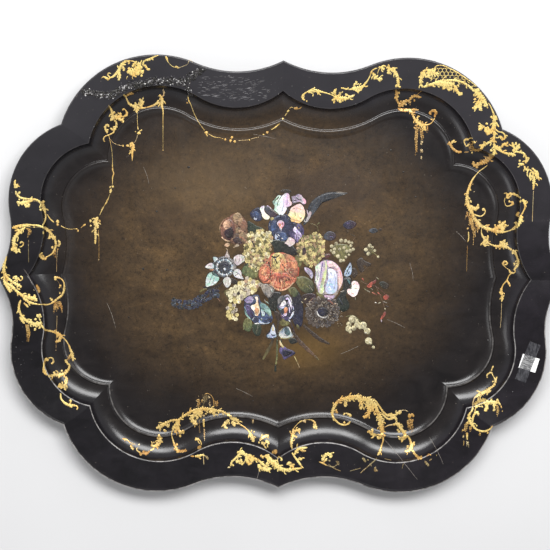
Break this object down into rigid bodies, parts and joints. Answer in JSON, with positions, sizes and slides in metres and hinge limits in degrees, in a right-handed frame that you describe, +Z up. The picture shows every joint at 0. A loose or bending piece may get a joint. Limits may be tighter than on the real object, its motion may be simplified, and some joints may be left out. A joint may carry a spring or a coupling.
{
  "type": "serving tray",
  "caption": "Large scalloped papier-mache tray, black japanned, flat floor with a coved wall and a broad sloping rim, flower spray inlaid in mother-of-pearl, painted gilt scrolls.",
  "frame": {"origin": "on the table under the middle of the tray's base", "axes": "+Z up out of the well, +X along the tray's long side, +Y to the side away from the person holding it, with the flowers' heads"},
  "size_m": [0.7764, 0.6044, 0.031],
  "materials": {
    "japanned_board": "black japan varnish over pressed paper, worn gloss",
    "nacre_pale": "polished mother-of-pearl, pale",
    "nacre_green": "polished mother-of-pearl, green",
    "nacre_rose": "polished mother-of-pearl, rose",
    "nacre_blue": "polished mother-of-pearl, blue-grey",
    "gilding": "bronze-gold leaf and powder under old varnish, worn thin in places",
    "flower_paint": "oil colours under varnish, shaded from deep blue, green and plum to cream",
    "paper": "plain white paper",
    "clear_tape": "clear adhesive tape"
  },
  "bodies": {
    "root": {"tray_body": "japanned_board", "lot_label": "paper", "label_tape": "clear_tape", "pearl_crown_left": "nacre_green", "pearl_crown_back": "nacre_blue", "pearl_crown_right": "nacre_rose", "pearl_crown_side": "nacre_blue", "pearl_blue_flower": "nacre_pale", "pearl_blue_flower_tip": "nacre_pale", "pearl_violet_heart": "nacre_pale", "pearl_violet_foot": "nacre_pale", "pearl_lilac_upper": "nacre_blue", "pearl_lilac_lower": "nacre_pale", "pearl_star_west": "nacre_green", "pearl_star_southwest": "nacre_green", "pearl_star_south": "nacre_pale", "pearl_star_east": "nacre_pale", "pearl_star_northeast": "nacre_pale", "pearl_star_north": "nacre_pale", "pearl_star_northwest": "nacre_pale", "pearl_rose_heart": "nacre_blue", "pearl_rose_left": "nacre_pale", "pearl_rose_right": "nacre_rose", "pearl_rose_foot": "nacre_rose", "pearl_leaf_bud": "nacre_blue", "pearl_pink_bud": "nacre_rose", "pearl_small_leaf": "nacre_pale", "pearl_bindweed_star": "nacre_pale", "pearl_bindweed_crown": "nacre_blue", "pearl_bindweed_east": "nacre_green", "pearl_bindweed_south": "nacre_blue", "pearl_bindweed_west": "nacre_blue", "pearl_anemone_left": "nacre_pale", "pearl_anemone_right": "nacre_pale", "pearl_anemone_foot": "nacre_rose", "pearl_anemone_side": "nacre_blue", "pearl_grey_petal": "nacre_blue", "pearl_bell_left": "nacre_pale", "pearl_bell_right": "nacre_blue", "pearl_star_eye": "nacre_blue"}
  },
  "joints": []
}
